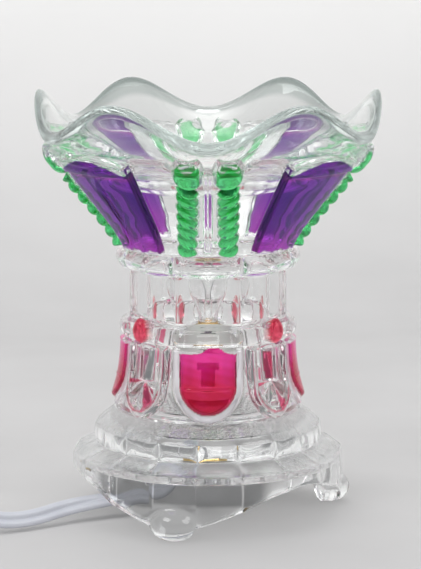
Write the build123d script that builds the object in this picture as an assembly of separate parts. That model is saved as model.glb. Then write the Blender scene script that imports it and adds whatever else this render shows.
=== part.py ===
"""Pressed-glass electric wax melt warmer: ruffled dish, stained shade, stepped base, lamp and cord.

Millimetres, +Z up, floor at z = 0, the lamp's axis on Z, the front towards -Y.
"""

import os
from math import cos, degrees, pi, radians, sin, tan

from build123d import *

os.makedirs("parts", exist_ok=True)

# Clearances
RUN_GAP = 0.4  # between pieces that move past each other

# Glass base
BASE_SIDES = 18
BASE_TURN = 5.0  # degrees that put a foot on a facet's middle
SKIRT_R = 50.0
SKIRT_TOP = 23.5
TIER_R = 42.0
TIER_Z0 = 27.0
TIER_Z1 = 33.5
SEAT_R = 34.5
SEAT_Z = 39.3  # where the shade stands
BASE_WALL = 6.0
PLATE = 6.8  # glass under the seat
BOSS_R = 28.0
BOSS_H = 2.0
SKIRT_Z0 = 5.0
ARCH_TOP = 17.0
FOOT_ANGLES = (15.0, 135.0, 255.0)
ARCH_SPAN = 100.0  # degrees of skirt that an arch opens
FOOT_W = 17.0
FOOT_H = 13.7
FOOT_DEPTH = 7.0
FOOT_OUT = 5.5
FOOT_FLAT = 0.4  # what the floor takes off a foot's round underside
FOOT_ROOT = 1.0  # from the skirt's inner face to where a foot begins

# Glass shade
SHADE_WALL = 4.6
FOOT_RING_R = 33.0
NECK_R = 29.2
LEDGE_R = 30.6
LEDGE_Z0 = 66.0
LEDGE_Z1 = 72.8
WAIST_Z0 = 74.0
WAIST_CORE_R = 27.4
WAIST_Z1 = 92.0
WAIST_R = 30.5
COLLAR_Z1 = 99.5
COLLAR_R = 31.8
RIM_R = 58.4
RIM_Z = 136.8
RIM_ROUND = 0.8
RIM_EASE = 0.6
CROWN_R = 31.2  # where the flare leaves the collar
FLARE = (27.2, 36.5)  # width and height that the flare's points below are drawn for
CROWN = ((0, 0), (2.2, 4.5), (5.8, 10.1), (10.8, 16.5), (16.6, 23.7), (22.2, 30.7))

# Raised work on the shade
PANEL_SPAN = 33.0
PANEL_OUT = 2.2
COLUMN_GAP = 14.2  # between the middles of a pair, which run side by side
COLUMN_TOP_R = 5.0
COLUMN_LOW_R = 3.1
RIDGES = 10
BEAD_D = 6.4
PETAL_W = 20.0
PETAL_OUT = 2.9
BORDER = 3.0
BORDER_OUT = 1.7
CLEAR_PETAL_W = 18.0
CLEAR_PETAL_OUT = 2.3

# Wax dish
WAVES = 6
DISH_FLOOR_R = 27.0
DISH_T = 4.4
PLAIN_R = 46.0  # the ruffle starts here
WALL_SLOPE = 0.8
DISH_LAP = 1.2  # how far the bowl and the ruffle run into each other
LAP_SLOPE = 1.6
RUFFLE = 5.8
DISH_GAP = 0.3  # over the rim's inner edge, where a wave is lowest
DISH_TOP = ((0.3, 12.15), (8.0, 18.0), (15.2, 23.4))  # out from PLAIN_R, up from the floor
DISH_UNDER = ((0.3, 6.65), (8.0, 12.9), (15.6, 18.9))
DISH_EDGE = (17.0, 21.6)
BOWL_TOP = (-9.5, 4.6)
BOWL_UNDER = (-8.0, 0.4)
BOWL_BRIM = (6.4, 11.9)  # the bowl's under and top side at PLAIN_R
BOWL_EASE = 3.0  # the floor's round edge

# Lamp holder and its fixing
NIPPLE_R = 5.0
NIPPLE_BORE = 3.3
WASHER_R = 11.0
PAD_T = 1.0
STEEL_T = 1.2
NUT_AF = 14.0
NUT_H = 3.5
HOLDER_R = 12.5
HOLDER_BODY_R = 10.5
HOLDER_FLOOR = 2.5
WIRE_ROOM = 8.7
WEB = 1.5
SOCKET_DEPTH = 14.0
SHELL_R = 7.2
SHELL_T = 0.8

# Bulb
CAP_R = 5.95
CAP_H = 13.0
BULB_R = 10.5
BULB_T = 0.8
BULB_H = 33.0

# Cord
CORD_D = 6.0
CORD_EXIT_Z = 7.4
CORD_LINE_Y = -40.0  # the run to the dimmer lies along this line
DIMMER_X1 = -97.0
COIL_RUN = 36.0
COIL_R = 41.5
COIL_PITCH = 6.7
COIL_HALVES = 5  # half turns in each layer
COIL_Z = 4.0
END_RUN = 30.0  # from the coil to the plug

# Dimmer and plug
DIM_L = 56.0
DIM_W = 26.0
DIM_H = 15.0
DIM_WALL = 2.0
DIAL_R = 10.0
DIAL_H = 4.2
PLUG_L = 30.0
PLUG_W = 24.0
BLADE = (17.0, 1.5, 6.35)
BLADE_PITCH = 12.7


# Small helpers


def save(shape, name):
    export_step(shape, f"parts/{name}.step")
    print(name, round(shape.volume, 1))


def outline(*edges):
    """The face inside edges drawn as (radius, height) in the plane of the axis."""
    return Plane.XZ * make_face(Wire(list(edges)))


def lathe(*edges, angle=360.0):
    return revolve(outline(*edges), Axis.Z, angle)


def tube(r_out, r_in, z0, z1):
    return Pos(0, 0, (z0 + z1) / 2) * (Cylinder(r_out, z1 - z0) - Cylinder(r_in, z1 - z0))


def rod(r, z0, z1, x=0.0, y=0.0):
    return Pos(x, y, (z0 + z1) / 2) * Cylinder(r, z1 - z0)


def block(lx, ly, x, y, z0, z1):
    return Pos(x, y, (z0 + z1) / 2) * Box(lx, ly, z1 - z0)


def around(shape, angles):
    return [Rot(0, 0, a) * shape for a in angles]


def solids_of(shapes):
    return Compound(children=[s for shape in shapes for s in shape.solids()])


def facet_ring(r, z):
    """The base's outline at height z."""
    return Pos(0, 0, z) * Rot(0, 0, BASE_TURN) * RegularPolygon(r, BASE_SIDES)


def facet_step(r0, z0, r1, z1):
    return loft([facet_ring(r0, z0).face(), facet_ring(r1, z1).face()], ruled=True)


# Glass base


def arch_cut():
    half = SKIRT_R * sin(radians(ARCH_SPAN / 2))
    low = SKIRT_Z0 - 1
    top = Spline((-half, SKIRT_Z0), (0, ARCH_TOP), (half, SKIRT_Z0), tangents=((2, 1), (2, -1)))
    legs = Polyline((half, SKIRT_Z0), (half, low), (-half, low), (-half, SKIRT_Z0))
    face = Plane.YZ * make_face(Wire([top, *legs.edges()]))
    return Pos(BASE_WALL, 0, 0) * extrude(face, SKIRT_R + 10)


def foot():
    """A cabochon on the skirt's outside, centred on +X, flat where it meets the floor."""
    flat_r = SKIRT_R * cos(radians(180 / BASE_SIDES))
    root_r = SKIRT_R - BASE_WALL + FOOT_ROOT
    shape = scale(Sphere(1), by=(FOOT_DEPTH, FOOT_W / 2, FOOT_H / 2))
    shape = Pos(flat_r + FOOT_OUT - FOOT_DEPTH, 0, FOOT_H / 2 - FOOT_FLAT) * shape
    shape &= block(4 * FOOT_W, 4 * FOOT_W, SKIRT_R, 0, 0, FOOT_H)
    return shape - rod(root_r, -1, FOOT_H + 1)


def glass_base():
    body = facet_step(SKIRT_R, SKIRT_Z0, SKIRT_R, SKIRT_TOP)
    body += facet_step(SKIRT_R - 0.5, SKIRT_TOP, TIER_R, TIER_Z0)
    body += facet_step(TIER_R, TIER_Z0, TIER_R, TIER_Z1)
    body += facet_step(TIER_R, TIER_Z1, SEAT_R + 0.6, SEAT_Z)
    body += rod(BOSS_R, SEAT_Z - 1, SEAT_Z + BOSS_H)
    hollow = Polyline(
        (0, -1),
        (SKIRT_R - BASE_WALL, -1),
        (SKIRT_R - BASE_WALL, SKIRT_TOP - BASE_WALL + 2),
        (TIER_R - BASE_WALL, TIER_Z0 - 3),
        (TIER_R - BASE_WALL - 2, SEAT_Z - PLATE),
        (0, SEAT_Z - PLATE),
        close=True,
    )
    body -= lathe(*hollow.edges())
    arch = arch_cut()
    for angle in FOOT_ANGLES:
        body -= Rot(0, 0, angle + 60) * arch
    cabochon = foot()
    for angle in FOOT_ANGLES:
        body += Rot(0, 0, angle) * cabochon
    return body - rod(NIPPLE_R + RUN_GAP, 20, 60)


# Glass shade


def lower_wall(out):
    """The wall below the ledge as a curve, moved out by some millimetres."""
    return Spline(
        (FOOT_RING_R + out, SEAT_Z),
        (31.2 + out, 48.0),
        (29.7 + out, 57.0),
        (NECK_R + out, LEDGE_Z0),
    )


def flare_points():
    """The flare's points from the collar up to just below the rim."""
    wide = (RIM_R - CROWN_R) / FLARE[0]
    tall = (RIM_Z - RIM_ROUND - COLLAR_Z1) / FLARE[1]
    return [(CROWN_R + wide * r, COLLAR_Z1 + tall * z) for r, z in CROWN]


def crown_wall(out):
    """The flaring wall above the collar as a curve, moved out across its own slope."""
    lift = 0.6 * out
    return Spline(*[(r + 0.8 * out, z - lift) for r, z in (*flare_points(), (RIM_R, RIM_Z - RIM_ROUND))])


def crown_inside():
    """The crown's inner face, a wall's thickness inside its outer curve."""
    across = 0.8 * SHADE_WALL
    up = 0.6 * SHADE_WALL
    points = [(r - across, z + up) for r, z in flare_points()]
    return Spline(*points, (RIM_R - SHADE_WALL, RIM_Z - RIM_ROUND))


def glass_shade():
    low = lower_wall(0)
    crown = crown_wall(0)
    inside = crown_inside()
    waist_in = WAIST_CORE_R - SHADE_WALL + 1.6
    ring = Polyline(
        low @ 1,
        (LEDGE_R, LEDGE_Z0),
        (LEDGE_R, LEDGE_Z1),
        (WAIST_CORE_R, WAIST_Z0),
        (WAIST_CORE_R, WAIST_Z1),
        (COLLAR_R, WAIST_Z1 + 1.2),
        (COLLAR_R, COLLAR_Z1 - 1.0),
        crown @ 0,
    )
    rim_in = RIM_R - SHADE_WALL
    rim = Polyline(crown @ 1, (RIM_R - RIM_EASE, RIM_Z), (rim_in + RIM_EASE, RIM_Z), inside @ 1)
    bore = Polyline(
        inside @ 0,
        (waist_in, WAIST_Z1),
        (waist_in, LEDGE_Z0),
        (BOSS_R + 0.8, SEAT_Z + 5),
        (BOSS_R + 0.8, SEAT_Z),
        low @ 0,
    )
    body = lathe(low, *ring.edges(), crown, *rim.edges(), inside, *bore.edges())
    waist = extrude(RegularPolygon(WAIST_R, 8), WAIST_Z1 - WAIST_Z0 + 1.4)
    waist = fillet(waist.edges().filter_by(Axis.Z), 1.5)
    waist = Pos(0, 0, WAIST_Z0 - 0.7) * Rot(0, 0, 22.5) * waist
    return body + (waist - rod(WAIST_CORE_R - 1, 60, 110))


def bow(r_path, z, r_bead, span):
    """A rounded bar bent round the axis, centred on +X."""
    half = span / 2 - degrees(r_bead / r_path)
    section = Plane.XZ * Pos(r_path, z) * Circle(r_bead)
    bar = Rot(0, 0, -half) * revolve(section, Axis.Z, 2 * half)
    for side in (-half, half):
        x = r_path * cos(radians(side))
        y = r_path * sin(radians(side))
        bar += Pos(x, y, z) * Sphere(r_bead)
    return bar


def tongue(width, out, top, low):
    """A U-ended panel raised off the lower wall, centred on +X, before the wall is taken away."""
    w = width / 2
    sides = Polyline((-w, low + w), (-w, top), (w, top), (w, low + w))
    end = ThreePointArc((w, low + w), (0, low), (-w, low + w))
    face = Plane.YZ * make_face(Wire([*sides.edges(), end]))
    block_out = Pos(15, 0, 0) * extrude(face, 40)
    outer = lower_wall(out)
    inner = lower_wall(-2)
    joins = (Line(outer @ 1, inner @ 1), Line(inner @ 0, outer @ 0))
    return block_out & lathe(outer, joins[0], inner, joins[1])


def pink_petals(shade):
    one = tongue(PETAL_W, PETAL_OUT, LEDGE_Z0 - 1.0, SEAT_Z + BORDER) - shade
    return solids_of(around(one, (0, 90, 180, 270)))


def clear_relief(shade):
    """What stands off the shade in clear glass: lobes, long beads, petal borders and plain petals."""
    wide = PETAL_W + 2 * BORDER
    border = tongue(wide, BORDER_OUT, LEDGE_Z0 - 0.2, SEAT_Z + 0.3)
    border -= tongue(PETAL_W, PETAL_OUT + 1, LEDGE_Z0 - 1.0, SEAT_Z + BORDER)
    plain = tongue(CLEAR_PETAL_W, CLEAR_PETAL_OUT, LEDGE_Z0 - 0.2, SEAT_Z + 1.0)
    lobe = bow(COLLAR_R - 1.2, (WAIST_Z1 + COLLAR_Z1) / 2 + 0.2, 3.4, 44.0)
    bead = bow(LEDGE_R - 1.0, LEDGE_Z1 - 3.2, 3.1, 50.0)
    every = range(0, 360, 45)
    square = range(0, 360, 90)
    slant = range(45, 360, 90)
    shapes = around(border - shade, square) + around(plain - shade, slant)
    shapes += around(lobe - shade, every) + around(bead - shade, square)
    return solids_of(shapes)


def red_beads(shade):
    ball = Pos(LEDGE_R + 0.4, 0, LEDGE_Z1 - 2.6) * Sphere(BEAD_D / 2) - shade
    return solids_of(around(ball, (45, 135, 225, 315)))


def purple_panels(shade):
    outer = crown_wall(PANEL_OUT)
    inner = crown_wall(-2)
    joins = (Line(outer @ 1, inner @ 1), Line(inner @ 0, outer @ 0))
    strip = lathe(outer, joins[0], inner, joins[1], angle=PANEL_SPAN)
    strip = Rot(0, 0, -PANEL_SPAN / 2) * strip
    strip &= block(200, 200, 0, 0, COLLAR_Z1 + 1.2, RIM_Z - 1.0)
    return solids_of(around(strip - shade, (45, 135, 225, 315)))


def rope_column(tilt):
    """A tapered stem up the crown with tilted rings and a round head, on +X."""
    path = Plane.XZ * crown_wall(0.8)

    def place(t):
        return Plane(path @ t, z_dir=path % t, x_dir=(0, 1, 0))

    def radius(t):
        return COLUMN_LOW_R + (COLUMN_TOP_R - COLUMN_LOW_R) * t

    rounds = [place(t) * Circle(0.86 * radius(t)) for t in (0.0, 0.15, 0.3, 0.45, 0.6, 0.76, 0.92)]
    column = loft([r.face() for r in rounds])
    for i in range(RIDGES):
        t = (i + 0.5) / (RIDGES + 1.0)
        column += place(t) * Rot(0, tilt, 0) * Cylinder(radius(t), 2.4)
    head = path @ 0.945
    column += Pos(head.X, head.Y, head.Z - 1.4) * Sphere(COLUMN_TOP_R)
    return column & block(200, 200, 0, 0, COLLAR_Z1 + 0.6, RIM_Z + 0.4)


def green_columns(shade):
    """Eight rope columns in four pairs, twisted opposite ways within a pair."""
    shapes = []
    for side in (-1, 1):
        one = Pos(0, side * COLUMN_GAP / 2, 0) * rope_column(22 * side) - shade
        shapes += around(one, (0, 90, 180, 270))
    return solids_of(shapes)


# Wax dish


def ruffle_at(out):
    return RUFFLE * (max(0.0, out) / DISH_TOP[2][0]) ** 1.5


def valley_under(r):
    """The wall's underside over the dish's floor at radius r, where a wave is lowest."""
    out = r - PLAIN_R
    first = DISH_UNDER[0]
    return first[1] + WALL_SLOPE * (out - first[0]) - ruffle_at(out)


DISH_FLOOR_Z = RIM_Z + DISH_GAP - valley_under(RIM_R - SHADE_WALL + RIM_EASE)


def lap(low, high, run):
    """Three edges from low to high that bulge sideways as far as run."""
    into = LAP_SLOPE * abs(run)
    corners = (low + Vector(run, 0, into), high + Vector(run, 0, -into))
    return Polyline(low, *corners, high).edges()


def ruffle_section(angle):
    """The dish's wall outside the plain bowl, cut at one angle round the axis."""
    wave = cos(radians(WAVES * angle))

    def at(point):
        return Vector(PLAIN_R + point[0], 0, DISH_FLOOR_Z + point[1] + wave * ruffle_at(point[0]))

    top = [at(p) for p in DISH_TOP]
    under = [at(p) for p in DISH_UNDER]
    edge = at(DISH_EDGE)
    edges = [
        Spline(*top),
        ThreePointArc(top[-1], edge, under[-1]),
        Spline(*reversed(under)),
        *lap(under[0], top[0], -DISH_LAP),
    ]
    return Rot(0, 0, angle) * make_face(Wire(edges))


def wax_dish():
    steps = [ruffle_section(a) for a in (0, 7.5, 15, 22.5, 30)]
    half = loft(steps)
    wave = half + mirror(half, Plane.XZ)
    fall, rise = [(PLAIN_R, DISH_FLOOR_Z + up) for up in BOWL_BRIM]
    top = Spline(
        (DISH_FLOOR_R - BOWL_EASE, DISH_FLOOR_Z),
        (PLAIN_R + BOWL_TOP[0], DISH_FLOOR_Z + BOWL_TOP[1]),
        rise,
        tangents=((1, 0), (8, 6.3)),
    )
    under = Spline(
        fall,
        (PLAIN_R + BOWL_UNDER[0], DISH_FLOOR_Z + BOWL_UNDER[1]),
        (DISH_FLOOR_R, DISH_FLOOR_Z - DISH_T),
        tangents=((-8, -6.3), (-1, -0.1)),
    )
    ends = Polyline(
        under @ 1,
        (0, DISH_FLOOR_Z - DISH_T),
        (0, DISH_FLOOR_Z),
        top @ 0,
    )
    into = LAP_SLOPE * DISH_LAP
    edge = Polyline(
        rise,
        (PLAIN_R + DISH_LAP, rise[1] - into),
        (PLAIN_R + DISH_LAP, fall[1] + into),
        fall,
    )
    bowl = lathe(top, *edge.edges(), under, *ends.edges())
    period = 360 / WAVES
    for i in range(WAVES):
        bowl += Rot(0, 0, i * period) * wave
    return bowl


# Lamp holder, its fixing and its wiring

HOLDER_Z0 = SEAT_Z + BOSS_H + PAD_T
CAVITY_Z0 = HOLDER_Z0 + HOLDER_FLOOR
WEB_Z0 = CAVITY_Z0 + WIRE_ROOM
SOCKET_Z0 = WEB_Z0 + WEB
HOLDER_Z1 = SOCKET_Z0 + SOCKET_DEPTH
CEILING = SEAT_Z - PLATE
NUT_Z1 = CEILING - PAD_T - STEEL_T
SCREW_X = (4.0, -6.8)
HEAD_Z0 = WEB_Z0 - 1.8
CORD_TOP = CAVITY_Z0 + 2.7


def lamp_holder():
    body = rod(HOLDER_R, HOLDER_Z0, HOLDER_Z0 + 5) + rod(HOLDER_BODY_R, HOLDER_Z0, HOLDER_Z1)
    body = chamfer(body.edges().group_by(Axis.Z)[-1], 0.8)
    body -= rod(NIPPLE_R, HOLDER_Z0 - 1, CAVITY_Z0 + 1)
    body -= rod(9.2, CAVITY_Z0, WEB_Z0)
    body -= rod(SHELL_R, SOCKET_Z0, HOLDER_Z1 + 1)
    for x in SCREW_X:
        body -= rod(1.2, WEB_Z0 - 1, SOCKET_Z0 + 1, x)
    return body


def socket_contact():
    strip = block(6.4, 3.0, 1.8, 0, SOCKET_Z0, SOCKET_Z0 + 0.6)
    return strip + rod(1.6, SOCKET_Z0, SOCKET_Z0 + 1.0)


def terminal_screws():
    shapes = [rod(2.2, HEAD_Z0, WEB_Z0, x) + rod(1.2, WEB_Z0, SOCKET_Z0, x) for x in SCREW_X]
    slots = [block(5, 0.7, x, 0, HEAD_Z0 - 1, HEAD_Z0 + 0.6) for x in SCREW_X]
    return solids_of([s - slot for s, slot in zip(shapes, slots)])


def leads():
    """Two short wires from the end of the cord to the terminal screws."""
    wires = []
    for x0, x1 in ((1.5, SCREW_X[0] + 1.2), (-1.5, SCREW_X[1] + 0.9)):
        path = Spline((x0, 0, CORD_TOP), (x1, 0, HEAD_Z0), tangents=((0, 0, 1), (0, 0, 1)))
        wires.append(sweep(Plane(path @ 0, z_dir=(0, 0, 1)) * Circle(0.8), path=path))
    return solids_of(wires)


def rubber_washers():
    upper = tube(HOLDER_R, NIPPLE_R + 0.2, HOLDER_Z0 - PAD_T, HOLDER_Z0)
    lower = tube(WASHER_R, NIPPLE_R + 0.2, CEILING - PAD_T, CEILING)
    return solids_of([upper, lower])


def nipple_nut():
    body = extrude(RegularPolygon(NUT_AF / 2, 6, major_radius=False), NUT_H)
    return Pos(0, 0, NUT_Z1 - NUT_H) * body - rod(NIPPLE_R, 10, 40)


def nipple():
    return tube(NIPPLE_R, NIPPLE_BORE, NUT_Z1 - NUT_H - 0.8, CAVITY_Z0)


# Bulb

CAP_Z0 = SOCKET_Z0 + 3.2
CAP_Z1 = CAP_Z0 + CAP_H
CONTACT_Z = SOCKET_Z0 + 1.0 + RUN_GAP
GLASS_Z0 = CAP_Z1 - 1.0


def bulb_glass():
    neck = CAP_R - 0.6
    z0 = GLASS_Z0
    top = z0 + BULB_H

    def side(t):
        edge = Spline(
            (neck - t, z0),
            (neck + 0.5 - t, z0 + 4),
            (BULB_R - t, z0 + 13),
            (BULB_R - 0.6 - t, z0 + 22),
            (0, top - t),
            tangents=((0, 1), (-1, 0)),
        )
        return edge

    outer = side(0)
    inner = side(BULB_T)
    return lathe(outer, Line(outer @ 1, inner @ 1), inner, Line(inner @ 0, outer @ 0))


def bulb_cap():
    """A screw cap with four rounded thread ridges, open at the top for the glass."""
    cap = tube(CAP_R - 0.5, CAP_R - 1.1, CAP_Z0, CAP_Z1)
    for i in range(4):
        cap += Pos(0, 0, CAP_Z0 + 3.0 + 2.5 * i) * Torus(CAP_R - 0.85, 0.85)
    cap -= rod(CAP_R - 1.1, CAP_Z0, GLASS_Z0)
    cap -= rod(CAP_R - 0.6, GLASS_Z0, CAP_Z1)
    return cap


def bulb_insulator():
    edges = Polyline(
        (1.6, CAP_Z0 - 1.2),
        (2.6, CAP_Z0 - 1.2),
        (CAP_R - 0.5, CAP_Z0),
        (1.6, CAP_Z0),
        close=True,
    )
    return lathe(*edges.edges())


def bulb_contact():
    return rod(1.6, CONTACT_Z + 0.4, CAP_Z0) + rod(2.4, CONTACT_Z, CAP_Z0 - 1.2)


def bulb_stem():
    base = rod(CAP_R - 0.6 - BULB_T, GLASS_Z0, GLASS_Z0 + 1.0)
    return base + rod(2.2, GLASS_Z0, GLASS_Z0 + 9.0)


def bulb_filament():
    """Two support wires that hold a small coil's arch between them."""
    z0 = GLASS_Z0 + 9.0
    arch = ThreePointArc((-4.2, 0, z0 + 9), (0, 0, z0 + 11.5), (4.2, 0, z0 + 9))
    path = FilletPolyline((-1.4, 0, z0), (-1.4, 0, z0 + 3), (-4.2, 0, z0 + 9), radius=2)
    wire = sweep(Plane(path @ 0, z_dir=(0, 0, 1)) * Circle(0.3), path=path)
    coil = sweep(Plane(arch @ 0, z_dir=arch % 0) * Circle(0.55), path=arch)
    return coil + wire + mirror(wire, Plane.YZ)


# Cord, coil and tie

DIMMER_X0 = DIMMER_X1 - DIM_L
DIMMER_Z = DIM_H / 2
COIL_X = DIMMER_X0 - COIL_RUN
COIL_Y = CORD_LINE_Y + COIL_R
LAYER = COIL_PITCH


def turn_at(a, b, c):
    u = (b - a).normalized()
    v = (c - b).normalized()
    return radians(u.get_angle(v))


def cord_path(points):
    """Straight runs with tangent arcs that fill most of each corner's shorter run."""
    points = [Vector(*p) for p in points]
    wire = []
    here = points[0]
    for a, b, c in zip(points, points[1:], points[2:]):
        turn = turn_at(a, b, c)
        cut = 0.45 * min((b - a).length, (c - b).length)
        print("cord arc radius", round(cut / tan(turn / 2), 1))
        start = b - (b - a).normalized() * cut
        end = b + (c - b).normalized() * cut
        wire.append(Line(here, start))
        wire.append(TangentArc(start, end, tangent=(b - a).normalized()))
        here = end
    wire.append(Line(here, points[-1]))
    return Wire(wire)


def cord_tube(path, name):
    section = Plane(path @ 0, z_dir=path % 0) * Circle(CORD_D / 2)
    solid = sweep(section, path=path)
    full = pi * CORD_D**2 / 4 * path.length
    print(name, "length", round(path.length, 1), "volume share", round(solid.volume / full, 4))
    return solid


CORD_POINTS = (
    (0, 0, CORD_TOP),
    (0, 0, CORD_EXIT_Z),
    (-46.0, -18.0, CORD_EXIT_Z - 0.6),
    (-68.0, CORD_LINE_Y + 5.0, 3.2),
    (DIMMER_X1 + 13, CORD_LINE_Y, DIMMER_Z),
    (DIMMER_X1, CORD_LINE_Y, DIMMER_Z),
)
TAIL_POINTS = (
    (DIMMER_X0, CORD_LINE_Y, DIMMER_Z),
    (DIMMER_X0 - 11, CORD_LINE_Y, DIMMER_Z),
    (COIL_X + 11, CORD_LINE_Y, COIL_Z),
    (COIL_X, CORD_LINE_Y, COIL_Z),
)


def half_turns():
    """The coil's half turns as (start, middle, end): in on the floor, up a layer, and out again."""
    rows = []
    side = -1  # the front of the coil
    y = CORD_LINE_Y
    z = COIL_Z
    step = COIL_PITCH / 2
    radii = [COIL_R - step * i for i in range(COIL_HALVES)]
    last = radii[-1] - step
    for i, r in enumerate([*radii, last, *reversed(radii)]):
        climb = LAYER if i == COIL_HALVES else 0.0
        y1 = y - 2 * r * side
        middle = (COIL_X + side * r, (y + y1) / 2, z + climb / 2)
        rows.append(((COIL_X, y, z), middle, (COIL_X, y1, z + climb)))
        y = y1
        z += climb
        side = -side
    return rows


def climbing_half(start, middle, end):
    """A half turn that rises evenly to the next layer and is level at both ends."""
    r = middle[0] - COIL_X
    y = (start[1] + end[1]) / 2
    points = []
    for i in range(17):
        a = pi * i / 16
        z = start[2] + (end[2] - start[2]) * (1 - cos(a)) / 2
        points.append((COIL_X + r * sin(a), y + (start[1] - y) * cos(a), z))
    return Spline(*points)


def coil_path():
    wire = []
    for start, middle, end in half_turns():
        if start[2] == end[2]:
            wire.append(ThreePointArc(start, middle, end))
        else:
            wire.append(climbing_half(start, middle, end))
    last = Vector(*half_turns()[-1][2])
    wire.append(Line(last, last + Vector(CORD_D, 0, 0)))
    return Wire(wire)


def least_gap(path):
    """The least space between the coil's turns, measured on points along it."""
    count = 900
    points = [path @ (i / count) for i in range(count + 1)]
    apart = int(count * 4 * CORD_D / path.length) + 1
    near = []
    for i, p in enumerate(points):
        near += [(p - q).length for q in points[i + apart :]]
    return min(near) - CORD_D


def cord_end():
    x, y, z = half_turns()[-1][2]
    return Pos(x + CORD_D + END_RUN / 2, y, z) * Rot(0, 90, 0) * Cylinder(CORD_D / 2, END_RUN)


def coil_tie():
    """A flat band round all the turns on the far side of the coil."""
    r0 = COIL_R - COIL_PITCH / 2 * COIL_HALVES - CORD_D / 2 - 1.0
    r1 = COIL_R + CORD_D / 2 + 1.0
    z0 = COIL_Z - CORD_D / 2
    z1 = COIL_Z + LAYER + CORD_D / 2
    mid = (r0 + r1) / 2
    outer = Pos(-mid, (z0 + z1) / 2) * RectangleRounded(r1 - r0 + 1.8, z1 - z0 + 1.8, 2.4)
    inner = Pos(-mid, (z0 + z1) / 2) * RectangleRounded(r1 - r0, z1 - z0, 1.5)
    band = extrude(Plane.XZ * (outer - inner), 4, both=True)
    return Pos(COIL_X, COIL_Y, 0) * band


# Dimmer on the cord

DIM_X = (DIMMER_X0 + DIMMER_X1) / 2
DIM_AT = Pos(DIM_X, CORD_LINE_Y, 0)
POST_X = DIM_L / 2 - 8
POT_Z1 = DIMMER_Z + 4.2


def dimmer_shell(z0, z1, closed_low):
    """One half of the case, with a post for each screw."""
    body = extrude(RectangleRounded(DIM_L, DIM_W, 9), z1 - z0)
    shut = body.faces().sort_by(Axis.Z)[0 if closed_low else -1]
    body = fillet(shut.edges(), 2.5)
    body = Pos(0, 0, z0) * body
    low = z0 + DIM_WALL if closed_low else z0 - 1
    high = z1 + 1 if closed_low else z1 - DIM_WALL
    room = extrude(RectangleRounded(DIM_L - 2 * DIM_WALL, DIM_W - 2 * DIM_WALL, 7), high - low)
    body -= Pos(0, 0, low) * room
    for x in (-POST_X, POST_X):
        body += rod(3.4, z0 + 1, z1 - (1 if not closed_low else 0), x)
    return body


def dimmer_bottom():
    body = dimmer_shell(0, DIMMER_Z, True)
    for x in (-11, 11):
        body += block(2, DIM_W - 3, x, 0, 1, 5)
    for x in (-POST_X, POST_X):
        body -= rod(1.6, -1, 20, x)
        body -= rod(2.8, -1, 2.2, x)
    return DIM_AT * body


def dimmer_top():
    body = dimmer_shell(DIMMER_Z, DIM_H, False)
    body -= rod(2.6 + RUN_GAP, DIMMER_Z, DIM_H + 1)
    for x in (-POST_X, POST_X):
        body -= rod(1.3, DIMMER_Z - 1, DIMMER_Z + 5, x)
    return DIM_AT * body


def dimmer_screws():
    one = rod(2.6, 0.5, 2.2) + rod(1.3, 2.2, DIMMER_Z + 4.6)
    one -= block(4, 0.7, 0, 0, 0, 1.1) + block(0.7, 4, 0, 0, 0, 1.1)
    return DIM_AT * solids_of([Pos(x, 0, 0) * one for x in (-POST_X, POST_X)])


def dimmer_board():
    """The circuit board with the control that the dial turns."""
    board = block(30, DIM_W - 6, 0, 0, 5, 6.6)
    control = tube(7.5, 2.6 + RUN_GAP, 6.6, POT_Z1)
    choke = block(5, 8, -11, 0, 6.6, 12)
    return DIM_AT * (board + control + choke)


def dimmer_dial():
    """A toothed dial with a pointer groove, on its spindle."""
    dial = extrude(RegularPolygon(DIAL_R, 24), DIAL_H)
    dial = chamfer(dial.faces().sort_by(Axis.Z)[-1].edges(), 0.7)
    dial = Pos(0, 0, DIM_H + RUN_GAP) * dial
    dial -= block(6, 1.2, DIAL_R - 4, 0, DIM_H + RUN_GAP + DIAL_H - 0.6, DIM_H + 10)
    return DIM_AT * (dial + rod(2.6, 7.6, DIM_H + RUN_GAP + 1))


# Plug on the end of the cord

PLUG_Z = COIL_Z + LAYER
PLUG_X = COIL_X + CORD_D + END_RUN


def plug_place():
    return Pos(PLUG_X, half_turns()[-1][2][1], PLUG_Z)


def plug_body():
    tail = Plane.YZ * RectangleRounded(11, 11, 3)
    wide = Plane.YZ * Pos(0, 0, 12) * RectangleRounded(PLUG_W, 2 * PLUG_Z, 5)
    end = Plane.YZ * Pos(0, 0, PLUG_L) * RectangleRounded(PLUG_W, 2 * PLUG_Z, 5)
    body = loft([tail.face(), wide.face()], ruled=True) + loft([wide.face(), end.face()], ruled=True)
    return plug_place() * body


def plug_blades():
    length, thick, tall = BLADE
    blades = []
    for side, height in ((-1, tall), (1, tall + 1.55)):
        y = side * BLADE_PITCH / 2
        blade = Pos(PLUG_L + length / 2, y, 0) * Box(length, thick, height)
        hole = Pos(PLUG_L + length - 3.5, y, 0) * Rot(90, 0, 0) * Cylinder(1.5, 10)
        blades.append(plug_place() * (blade - hole))
    return solids_of(blades)


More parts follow.
